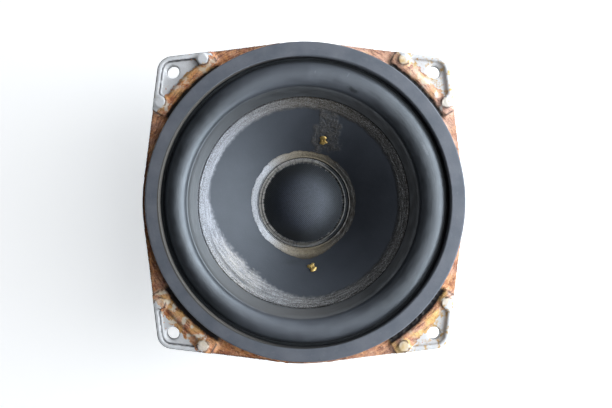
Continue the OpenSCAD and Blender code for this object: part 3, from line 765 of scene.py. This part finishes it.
def cement_film():
    tree = BVHTree.FromPolygons([v.co for v in basket_mesh.vertices],
                                [p.vertices for p in basket_mesh.polygons])
    r_line = np.arange(FILM_IN_R, FILM_OUT_R, FILM_STEP)
    angle, r = np.meshgrid(circle(FILM_TURNS), r_line, indexing="ij")
    x, y = r * np.cos(angle), r * np.sin(angle)
    level = np.full(r.shape, np.nan)
    for at in np.ndindex(r.shape):
        above = Vector((x[at], y[at], RAY_START_Z)) * MM
        hit = tree.ray_cast(above, Vector((0, 0, -1)), RAY_LENGTH * MM)[0]
        if hit:
            level[at] = hit.z / MM
    found = np.isfinite(level) & (level > FLANGE_Z - 0.4)
    level = np.where(found, level, 0)
    highest = np.max(around(level), axis=0)
    lowest = np.min(around(np.where(found, level, PAD_TOP_Z)), axis=0)
    level = np.where(found, highest, 0)
    for _ in range(2):
        near = around(level)
        level = np.where(found, near.sum(axis=0) / np.maximum((near > 0).sum(axis=0), 1), 0)
    quarter = np.floor(np.degrees(angle) / 90).astype(int)
    off = np.degrees(angle) - quarter * 90 - 45

    def own(key):
        """The nearest corner's value at each point of the film."""
        return np.array(CORNERS[key])[quarter]

    def sided(key):
        """The same for a pair of values, one for each side of the corner."""
        low, high = np.moveaxis(own(key), -1, 0)
        return low + (high - low) * smoothstep(-8, 8, off)

    spots = partial(level_noise, x, y)
    bar = 1 - smoothstep(BAR_END_ANGLE - 2, BAR_END_ANGLE, np.abs(off))
    crevice_r = CREVICE_R + own("crevice") * bar
    ragged = 0.5 * spots(0.5, 11) + 0.22 * spots(1.4, 12) + 0.1 * spots(3.1, 13)
    beside = (np.abs(off) - PAD_HALF_ANGLE) * r * pi / 180
    inside = np.maximum(POCKET_IN_R + sided("spread") - r, beside) + ragged
    thick = 0.12 * np.clip(inside, -1.2, 1.2) + 0.06 * spots(0.9, 14) + 0.04 * spots(2.6, 15)
    thick -= 0.24 * own("bare") * (level > BOSS_TOP_Z - 0.35) * (0.8 + spots(1.1, 18))
    # Beside the gasket the cement stands up in lumps, and fills the gap in front of each pad's bar
    lump = 0.3 + 0.35 * spots(0.8, 16) + 0.3 * spots(1.9, 17)
    thick += (1 - smoothstep(-1.1, -0.3, r - crevice_r)) * np.clip(lump, 0.05, 0.8) * (0.4 + 0.3 * bar)
    brink = r - crevice_r + 0.25 * spots(0.45, 23) + 0.14 * spots(1.7, 24) + 0.14 * spots(3.3, 29)
    fill = bar * smoothstep(-0.2, 0.5, brink) * (r < POCKET_IN_R - 1)
    fill_z = FLANGE_Z + fill * (PAD_TOP_Z - FLANGE_Z + 0.05 + 0.1 * spots(0.9, 25))
    good = found & ((inside > 0) | (thick > -0.1))
    z = np.where(good, np.maximum(level + thick, fill_z), 0)

    edge_r = np.max(np.where(found, r, 0), axis=1)[:, None]
    from_gasket = np.hypot(x - GASKET_LIES[0], y - GASKET_LIES[1]) - GASKET_OUT_R
    shadow = 1 - smoothstep(0.1, 0.8, from_gasket + 0.3 * spots(1.5, 19))
    # In front of each bar the crevice is black: black cement, darkened further as painted shade
    crevice = bar * (1 - smoothstep(-0.2, 0.35, brink))
    # Along the flange's outer edge on the left the cement is darkened as painted shade
    left_edge_shade = 0.6 * (1 - smoothstep(0.1, 0.9, edge_r - r + 0.3 * spots(0.6, 26))) * (x < 0) * (1 - bar)
    # Steep steps beside the pads' ends and round the bosses are darkened as painted shade
    side = smoothstep(0.5, 0.9, highest - lowest) * smoothstep(-0.6, 0.0, spots(0.7, 27)) * found
    side = side * np.maximum(bump_at(beside, 0, 1.0), highest > PAD_TOP_Z + 0.4)
    # dark: painted shadow beside the gasket, black cement in the crevices darkened further as painted
    # shade, and painted shade at the left edge and at the steps
    dark = np.clip(np.max([shadow, crevice, left_edge_shade, 0.85 * side], axis=0), 0, 1)
    flakes = smoothstep(0.3, 0.5, spots(0.6, 20) + 0.35 * spots(2.2, 21)) * own("flakes")
    pale = np.maximum(flakes, sided("boss") * (level > BOSS_TOP_Z - 0.4)) * bar * (1 - dark)
    gold = smoothstep(-0.3, 0.6, spots(0.35, 28)) * own("gold") * bar
    # tone: pinker and paler at the corners on the window's side, partly the cement's own colour and partly
    # a painted sheen
    tone = np.clip(own("tone") + 0.35 * spots(0.3, 22), 0, 1)

    quads = grid_quads(FILM_TURNS, len(r_line), len(r_line) - 1)[:, [0, 3, 2, 1]]
    quads = quads[good.ravel()[quads].all(axis=1)]
    used, faces = np.unique(quads, return_inverse=True)
    points = np.stack([x, y, z], -1).reshape(-1, 3)[used]
    mesh = make_mesh(points, faces.reshape(-1, 4).tolist())
    tan = sided("tan") * (0.7 + 0.5 * spots(0.8, 30))
    for name, values in (("dark", dark), ("pale", pale), ("tone", tone), ("gold", gold), ("tan", tan)):
        set_values(mesh, name, values.reshape(-1)[used])
    return modified(mesh, ("SOLIDIFY", {"thickness": FILM_T * MM, "offset": -1.0}))


place("gasket_cement", cement_film(), cement_paint(), "gasket_rubber", sharp=70)

# Gasket: it lies a little off the middle, and its top leans outwards
gasket_low, gasket_high = span("front_gasket")[1:]
GASKET_FOOT_R, GASKET_LIP_R, GASKET_LEAN, GASKET_LIP_H = 56.0, 55.85, 0.35, 1.1


def handled(r, angle, z):
    """A moulded ring that no longer lies quite true."""
    return (r + 0.10 * polar_noise(z, angle, 5, 0.0, 31) + 0.03 * polar_noise(z, angle, 40, 0.5, 32),
            z + 0.04 * polar_noise(r, angle, 9, 0.2, 33) * smoothstep(gasket_low, gasket_high, z) - 0.04)


gasket_section = [(GASKET_FOOT_R, gasket_low, 0.1), (GASKET_OUT_R, gasket_low, 0.3),
                  (GASKET_OUT_R, gasket_high - GASKET_LEAN, 0.6), (GASKET_FLAT_R, gasket_high, 0.4),
                  (GASKET_LIP_R, gasket_high - GASKET_LIP_H, 0.5)]
gasket = lathe(rounded(gasket_section, 5), FINE_TURNS, shape=handled)
set_corners(gasket, corners_of(gasket) + [*GASKET_LIES, 0])
place("gasket_ring", gasket, gasket_paint(), "gasket_rubber", "front_gasket")


# Surround: its inner lap follows the cone's slope, and then it rises in a half roll
def lap_z(r):
    """Height of the cone's face under the surround's inner lap."""
    return CONE_NECK_Z + CONE_DEPTH + LAP_SLOPE * (np.minimum(r, LAP_BEND_R) - LAP_IN_R)


lap = [(r, lap_z(r) + ROLL_SHEET / 2) for r in (LAP_IN_R, LAP_BEND_R)]
lap.append((LAP_BEND_R + 0.9, lap[-1][1] + 0.05))
arc_z, arc_h = ROLL_Z + ROLL_SIDE_H, ROLL_H - ROLL_SIDE_H
arc = [(ROLL_MID_R - ROLL_R * cos(pi * k / 60), arc_z + arc_h * sin(pi * k / 60)) for k in range(3, 61)]
arc.append((ROLL_MID_R + ROLL_R, ROLL_Z))
roll_line = softened(even_line(lap + arc + [(LAP_OUT_R, ROLL_Z)], 0.22), 6)


def settled(r, angle, z):
    """The roll's slight unevenness."""
    high = smoothstep(ROLL_Z + 0.5, ROLL_Z + ROLL_H, z)
    dents = 0.10 * polar_noise(r, angle, 5, 0.1, 42) + 0.03 * polar_noise(r, angle, 30, 0.3, 43)
    return r + 0.12 * high * polar_noise(z, angle, 6, 0.0, 41), z + high * dents


surround = lathe(sheet_section(roll_line, ROLL_SHEET), ROLL_TURNS, shape=settled)
points = corners_of(surround)
outward = smoothstep(ROLL_MID_R - ROLL_R, ROLL_MID_R + ROLL_R, radii(points))
set_corners(surround, points + outward[:, None] * [*GASKET_LIES, 0])
surround = place("surround_roll", surround, surround_paint(), "surround_rubber", "surround", None)
bend_by_radius(surround, ROLL_MID_R + ROLL_R, ROLL_MID_R - ROLL_R)


# Cone, with the brushed glue on it
def cone_part(r):
    return (r - CONE_NECK_R) / (CONE_EDGE_R - CONE_NECK_R)


def cone_z(r):
    return CONE_NECK_Z + CONE_DEPTH * cone_part(r) * (1 + CONE_CURVE * (1 - cone_part(r)))


def cone_slope(r):
    return atan(CONE_DEPTH / (CONE_EDGE_R - CONE_NECK_R) * (1 + CONE_CURVE * (1 - 2 * cone_part(r))))


GLUE_T, GLUE_BAND_R, GLUE_WIDE_ANGLE = 0.16, 37.3, 222
CRACK_R, CRACK_DEPTH = 41.25, 0.2
# The upper eyelet's patch of glue, and the strip from it to the rim: middle and half size in mm
PATCH_AT, PATCH_HALF, STRIP_X, STRIP_HALF = (9.3, 25.6), (5.6, 5.4), 10.1, 3.6


def glue_on_cone(r, angle):
    """Glue on the cone's face, 0 to 1: the rim band, and the patch and strip at the upper eyelet."""
    turn = np.degrees(angle) % 360
    x, y = r * np.cos(angle), r * np.sin(angle)
    stroke = 0.25 * polar_noise(r, angle, 9, 0.15, 51) + 0.3 * polar_noise(r, angle, 40, 1.5, 52)
    wide = bump_at(turn, GLUE_WIDE_ANGLE, 55)
    inner = GLUE_BAND_R - 4.0 * wide + stroke * (1 + 1.5 * wide)
    soft = 0.7 + 0.8 * wide
    band = smoothstep(inner - soft, inner + soft, r)
    stripe = bump_at(r + 0.4 * stroke, 38.9, 0.85) * bump_at(turn, GLUE_WIDE_ANGLE, 42)
    band = band * (1 - 0.55 * stripe)
    strip = 1 - smoothstep(STRIP_HALF - 0.5, STRIP_HALF + 0.5, np.abs(x - STRIP_X) + stroke)
    strip = strip * (y > PATCH_AT[1])
    away = np.maximum(np.abs(x - PATCH_AT[0]) / PATCH_HALF[0], np.abs(y - PATCH_AT[1]) / PATCH_HALF[1])
    patch = 1 - smoothstep(0.75, 1.1, away + 0.2 * stroke + 0.15 * level_noise(x, y, 0.5, 55))
    thin = 0.42 + 0.2 * level_noise(x, y, 0.7, 56) + 0.25 * level_noise(x, y, 2.0, 57)
    return np.clip(np.maximum(band, thin * np.maximum(strip, patch)), 0, 1)


def glued_cone(r, angle, z):
    front = z > cone_z(np.minimum(r, CONE_EDGE_R)) - 0.1
    glue = glue_on_cone(r, angle) * front * (r < CRACK_R - 0.2)
    ridges = 0.5 + 0.5 * polar_noise(r, angle, 10, 2.2, 53)
    return r, z + glue * GLUE_T * (0.6 + 0.6 * ridges) + 0.03 * front * polar_noise(r, angle, 6, 0.2, 54)


CONE_FRONT_STEPS, CONE_BACK_STEPS = 118, 16
front_r, back_r = (np.linspace(CONE_NECK_R, CONE_EDGE_R, n) for n in (CONE_FRONT_STEPS, CONE_BACK_STEPS))
front_line = np.stack([front_r, cone_z(front_r) - CRACK_DEPTH * bump_at(front_r, CRACK_R, 0.3)], -1)
rim = [(r, lap_z(r) - drop) for r, drop in ((LAP_BEND_R, 0), (CONE_RIM_R - 0.15, 0.05), (CONE_RIM_R, 0.3),
                                            (CONE_RIM_R - 0.15, 0.6), (LAP_BEND_R, CONE_SHEET))]
back_line = np.stack([back_r, cone_z(back_r) - CONE_SHEET], -1)
cone_section = np.concatenate([back_line, rim[::-1], front_line[::-1]])
cone_mesh = lathe(cone_section, CONE_TURNS, shape=glued_cone)
points = corners_of(cone_mesh)
cone_r, cone_angle = radii(points), np.arctan2(points[:, 1], points[:, 0])
on_face = points[:, 2] > cone_z(np.minimum(cone_r, CONE_EDGE_R)) - 0.2
set_values(cone_mesh, "glue", glue_on_cone(cone_r, cone_angle) * on_face)
place("cone_paper", cone_mesh, cone_paint(), "cone_paper", "cone", "moving_cone", 50)

# Glue ring at the neck, with a lip that stands up beside the cap
LIP_R, LIP_H, LIP_HALF = 18.35, 0.4, 0.38


def brushed_neck(r, angle, z):
    edge = smoothstep(NECK_GLUE_OUT_R - 1.6, NECK_GLUE_OUT_R, r)
    uneven = 0.35 * polar_noise(z, angle, 7, 0.0, 61) + 0.2 * polar_noise(z, angle, 26, 0.0, 62)
    lower = 1.7 * bump_at(np.degrees(angle) % 360, 272, 42)
    top = z > cone_z(r) + 0.12
    moved = r + edge * (uneven - 0.2 + lower)
    z = z + cone_z(moved) - cone_z(r) - top * edge * 0.25 + top * 0.08 * polar_noise(r, angle, 22, 1.5, 63)
    return moved, z


neck_r = np.linspace(NECK_GLUE_IN_R, NECK_GLUE_OUT_R, 40)
neck_top = cone_z(neck_r) + NECK_GLUE_T + LIP_H * bump_at(neck_r, LIP_R, LIP_HALF)
neck_low = np.stack([neck_r, cone_z(neck_r) + 0.02], -1)
neck_high = np.stack([neck_r, neck_top], -1)[::-1]
neck = lathe(np.concatenate([neck_low, neck_high]), FINE_TURNS, shape=brushed_neck)
place("neck_glue_ring", neck, neck_glue_paint(), "neck_adhesive", "neck_glue", "moving_cone", 60)

# Dust cap: a dome, and a brim with a standing edge beside a groove
cap_low = span("dust_cap")[1]
CAP_FOOT_Z, CAP_STEEPNESS = cap_low - 0.2, 2.25
dome_r = np.linspace(0, CAP_FOOT_R, 44)
dome_z = CAP_FOOT_Z + CAP_RISE * (1 - (dome_r / CAP_FOOT_R) ** CAP_STEEPNESS)
brim = [(CAP_FOOT_R + 0.25, CAP_FOOT_Z), (CAP_RIDGE_R, CAP_FOOT_Z + 1.0),
        (CAP_RIDGE_R + 0.4, cap_low + 0.25), (CAP_RIM_R, cap_low + CAP_SHEET / 2)]
cap_line = softened(even_line([*zip(dome_r, dome_z)] + brim, 0.2), 2)


def frayed(r, angle, z):
    """Threads that stand up in the brim."""
    threads = 0.1 * polar_noise(r, angle, 26, 0.4, 71) + 0.05 * polar_noise(r, angle, 60, 1.0, 72)
    return r, z + threads * smoothstep(CAP_FOOT_R - 0.6, CAP_FOOT_R + 0.8, r)


cap_section = np.concatenate([cap_line - [0, CAP_SHEET / 2], (cap_line + [0, CAP_SHEET / 2])[::-1]])
cap = lathe(cap_section, FINE_TURNS, closed=False, shape=frayed)
place("dust_cap_cloth", cap, cap_paint(), "cap_cloth", "dust_cap", "moving_cone")

# Voice coil
card = plain_paint("former_card", (150, 122, 84), (118, 92, 60), 0.6)
disc("coil_former", "voice_coil_former", FORMER_IN_R, card, "former_card", 0.08, body="moving_cone")
winding_r, winding_low, winding_high = span("voice_coil")
wire_r = (winding_high - winding_low) / WINDING_TURNS / 2
wires = [(winding_r - wire_r + wire_r * sin(turn), winding_low + wire_r * (2 * n + 1 - cos(turn)))
         for n in range(WINDING_TURNS) for turn in np.linspace(0, pi, 5)]
winding = lathe([(WINDING_IN_R, winding_high), (WINDING_IN_R, winding_low)] + wires, COIL_TURNS)
wire = metal_paint("coil_wire", (176, 104, 58), (128, 70, 40), 0.8, 0.35)
place("coil_winding", winding, wire, "coil_wire", "voice_coil", "moving_cone", 80)

# Spider
wave_line = np.stack([np.linspace(SPIDER_WAVE_IN_R, SPIDER_WAVE_OUT_R, 121),
                      SPIDER_Z + SPIDER_WAVE_H * np.sin(np.linspace(0, 2 * pi * SPIDER_WAVES, 121))], -1)
collar_r = SPIDER_IN_R + SPIDER_SHEET / 2
spider_line = [(collar_r, SPIDER_COLLAR_Z), (collar_r, SPIDER_Z), *wave_line, (SPIDER_OUT_R, SPIDER_Z)]
spider = lathe(sheet_section(softened(even_line(spider_line, 0.2), 3), SPIDER_SHEET), SPIDER_TURNS)
spider = place("spider_cloth", spider, spider_paint(), "spider_cloth", "spider", None, 60)
bend_by_radius(spider, SPIDER_WAVE_OUT_R, SPIDER_WAVE_IN_R)

# Screws, terminal board, rivets, lugs and solder: the CAD's forms with rounded edges
brass = metal_paint("brass", (214, 186, 118), (150, 122, 66), 0.75, 0.36)
solder = metal_paint("solder", (190, 192, 194), (140, 142, 146), 0.9, 0.3)
screw_steel = metal_paint("screw_steel", (150, 150, 152), (104, 102, 100), 0.95, 0.3)
rivet_metal = metal_paint("rivet_metal", (196, 196, 192), (150, 150, 148), 0.9, 0.3)
laminate = plain_paint("board_laminate", (148, 96, 52), (112, 68, 36), 0.45, 0.3)
for name, node, paint, slot, edge, *body in [
    ("plate_screw_set", "plate_screws", screw_steel, "screw_steel", 0.15),
    ("board_laminate", "terminal_board", laminate, "board_laminate", 0.2),
    ("board_rivets", "terminal_rivets", rivet_metal, "rivet_metal", 0.15),
    ("positive_lug_brass", "positive_lug", brass, "brass", 0.12),
    ("negative_lug_brass", "negative_lug", brass, "brass", 0.12),
    ("lug_solder_set", "lug_solder", solder, "solder", 0.08),
    ("eyelet_solder_set", "eyelet_solder", solder, "solder", 0.08, "moving_cone"),
]:
    place(name, bevelled(node, edge), paint, slot, node, *body)


# Eyelets, folded over on the cone's face
def at_eyelet(angle):
    """Matrix in mm: Z is the cone's outward normal at the eyelet, and X points up the cone's slope."""
    there = Matrix.Translation((EYELET_REACH, 0, cone_z(EYELET_REACH)))
    tilt = Matrix.Rotation(-cone_slope(EYELET_REACH), 4, "Y")
    return Matrix.Rotation(radians(angle), 4, "Z") @ there @ tilt


# The notches between the folded lobes: direction in degrees, half width in radians and depth
EYELET_NOTCHES = {
    "positive": [(178, 0.75, 0.6), (8, 0.6, 0.42), (300, 0.4, 0.2)],
    "negative": [(216, 0.7, 0.55), (30, 0.6, 0.6), (120, 0.5, 0.25)],
}


def folded_eyelet(side):
    """A brass eyelet whose split barrel is folded flat, in lobes with notches between them."""
    rings, turns = 16, 96
    t = np.linspace(0, 1, rings)[None, :]
    a = circle(turns)[:, None]
    reach = 1 + 0.05 * np.cos(3 * a)
    for direction, half_width, depth in EYELET_NOTCHES[side]:
        off = a - radians(direction - EYELET_ANGLES[side])
        reach = reach - depth * smoothstep(cos(half_width), 1, np.cos(off))
    r = EYELET_HEAD_R * reach * t
    height = 0.08 + 0.45 * np.sqrt(1 - t**4) + 0.14 * np.cos(2 * a) * t - 0.25 * np.exp(-(t / 0.3) ** 2)
    x, y = r * np.cos(a), r * np.sin(a)
    top = np.stack([x, y, np.broadcast_to(height, x.shape)], -1).reshape(-1, 3)
    low = top * [0.94, 0.94, 0] + [0, 0, 0.02]
    quads = grid_quads(turns, rings, rings - 1)
    rim = np.arange(turns) * rings + rings - 1
    wall = np.stack([rim, rim + len(top), np.roll(rim, -1) + len(top), np.roll(rim, -1)], -1)
    faces = np.concatenate([quads[:, ::-1], quads + len(top), wall]).tolist()
    line = [(0.001 * k, 0, 0.1 - (EYELET_BACK + 0.1) * k / 6) for k in range(7)]
    mesh = joined((np.concatenate([top, low]), faces), tube(line, EYELET_BARREL_R, 32))
    merge(mesh)
    matrix = at_eyelet(EYELET_ANGLES[side])
    set_corners(mesh, np.array([matrix @ Vector(p) for p in corners_of(mesh)]))
    return mesh


for side in EYELET_ANGLES:
    place(f"{side}_eyelet_brass", folded_eyelet(side), brass, "brass", f"{side}_eyelet", "moving_cone")

# Flexible leads: three twisted strands each
braid = metal_paint("lead_braid", (206, 150, 104), (140, 92, 60), 0.7, 0.42)
STRANDS, STRAND_R, STRAND_OFFSET, STRAND_TWIST = 3, 0.31, 0.28, 2.6


def lead_line(side):
    """The lead's line from its lug to its eyelet, in mm, as the CAD draws it."""
    sign = 1 if side == "positive" else -1
    start = np.array(LUG_TAB_AT) * [1, sign, 1]
    matrix = at_eyelet(EYELET_ANGLES[side])
    stops = [start, start - [LEAD_STRAIGHT, 0, 0]] + [np.array(p, float) for p in LEAD_WAYS[side]]
    stops += [np.array(matrix @ Vector((0, 0, -EYELET_BACK - reach))) for reach in (LEAD_STRAIGHT, 0)]
    line = [stops[0], (stops[0] + stops[1]) / 2]
    for n in range(1, len(stops) - 2):
        a, b, c, d = stops[n - 1: n + 3]
        for t in np.linspace(0, 1, 14, endpoint=False):
            bend = (2 * a - 5 * b + 4 * c - d) * t**2 + (3 * b - a - 3 * c + d) * t**3
            line.append(0.5 * (2 * b + (c - a) * t + bend))
    return line + [stops[-2], (stops[-2] + stops[-1]) / 2, stops[-1]]


for side in EYELET_ANGLES:
    line = lead_line(side)
    lead = joined(*[tube(line, STRAND_R, 8, STRAND_TWIST, STRAND_OFFSET, turn) for turn in circle(STRANDS)])
    lead = place(f"{side}_lead_braid", lead, braid, "lead_braid", f"{side}_lead", None)
    [MM * v for v in line[0]]
    [MM * v for v in line[-1]]
    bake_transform(lead)

# Floor: pale, and brighter to the camera than it is lit, more so far off, with the driver's shadow kept
FLOOR_HALF, FLOOR_STEPS = 8000.0, 40
FLOOR_COLOUR, FLOOR_GLOW, FAR_GLOW = 0.8, 0.53, 0.9
NEAR_R, FAR_R = 300, 1500
line = np.linspace(-FLOOR_HALF, FLOOR_HALF, FLOOR_STEPS + 1)
quads = grid_quads(FLOOR_STEPS + 1, FLOOR_STEPS + 1, FLOOR_STEPS)[:-FLOOR_STEPS]
floor_mesh = make_mesh([(x, y, 0) for x in line for y in line], quads.tolist())
floor = bpy.data.objects.new("floor", floor_mesh)
scene.collection.objects.link(floor)

paint = Paint("floor")
diffuse = paint.node("BsdfDiffuse", {"Color": (FLOOR_COLOUR,) * 3 + (1,)})
strength = paint.r.span(NEAR_R, FAR_R, FLOOR_GLOW, FAR_GLOW)
glow = paint.node("Emission", {"Color": (0.95, 0.975, 1, 1), "Strength": strength})
both = paint.node("AddShader", {0: diffuse, 1: glow})
rays = [paint.node("LightPath", output=name)
        for name in ("Is Camera Ray", "Is Glossy Ray", "Is Transmission Ray")]
seen = paint.math("ADD", rays[0] + rays[1], rays[2], clamp=True)
choice = paint.node("MixShader", {0: seen, 1: diffuse, 2: both})
paint.feed(paint.tree.nodes["Material Output"], {"Surface": choice})
floor.data.materials.append(paint.material)


# Light: a low wide window on the right, a weak soft lamp high above it, and two low lamps that fill
# the sides turned away from the window
def area_lamp(name, at, size, power, aim=(0, 0, 0.065), colour=(1, 1, 1)):
    light = bpy.data.lights.new(name, "AREA")
    light.shape = "RECTANGLE"
    light.size, light.size_y = size
    light.energy = power
    light.color = colour
    lamp = bpy.data.objects.new(name, light)
    lamp.location = at
    lamp.rotation_euler = (Vector(aim) - lamp.location).to_track_quat("-Z", "Y").to_euler()
    lamp.visible_camera = False
    scene.collection.objects.link(lamp)


area_lamp("window", (0.52, 0.05, 0.31), (1.4, 0.4), 11.0, colour=(0.92, 0.96, 1.0))
area_lamp("high_lamp", (0.28, 0.05, 0.55), (0.4, 0.4), 1.4)
area_lamp("fill_near", (-0.5, -0.55, 0.035), (0.6, 0.06), 0.8, aim=(0, 0, 0.035))
area_lamp("fill_far", (-0.55, 0.5, 0.035), (0.6, 0.06), 0.8, aim=(0, 0, 0.035))

# The room: dim, brighter on the window's side, and pale along the horizon
ROOM_DIM, ROOM_BRIGHT, ROOM_TURN, ROOM_FOOT, ROOM_FOOT_TOP = 0.02, 0.2, -0.5, 0.9, 0.14
world = bpy.data.worlds.new("room")
scene.world = world
room = Nodes(world)
direction = room.node("TexCoord", output="Generated")
side = room.part(direction, "X").span(ROOM_TURN, 1, ROOM_DIM, ROOM_BRIGHT)
foot = room.part(direction, "Z").span(ROOM_FOOT_TOP, 0.02, 0, ROOM_FOOT)
room.feed(room.tree.nodes["Background"], {"Color": (0.96, 0.98, 1.0, 1), "Strength": side.max(foot)})
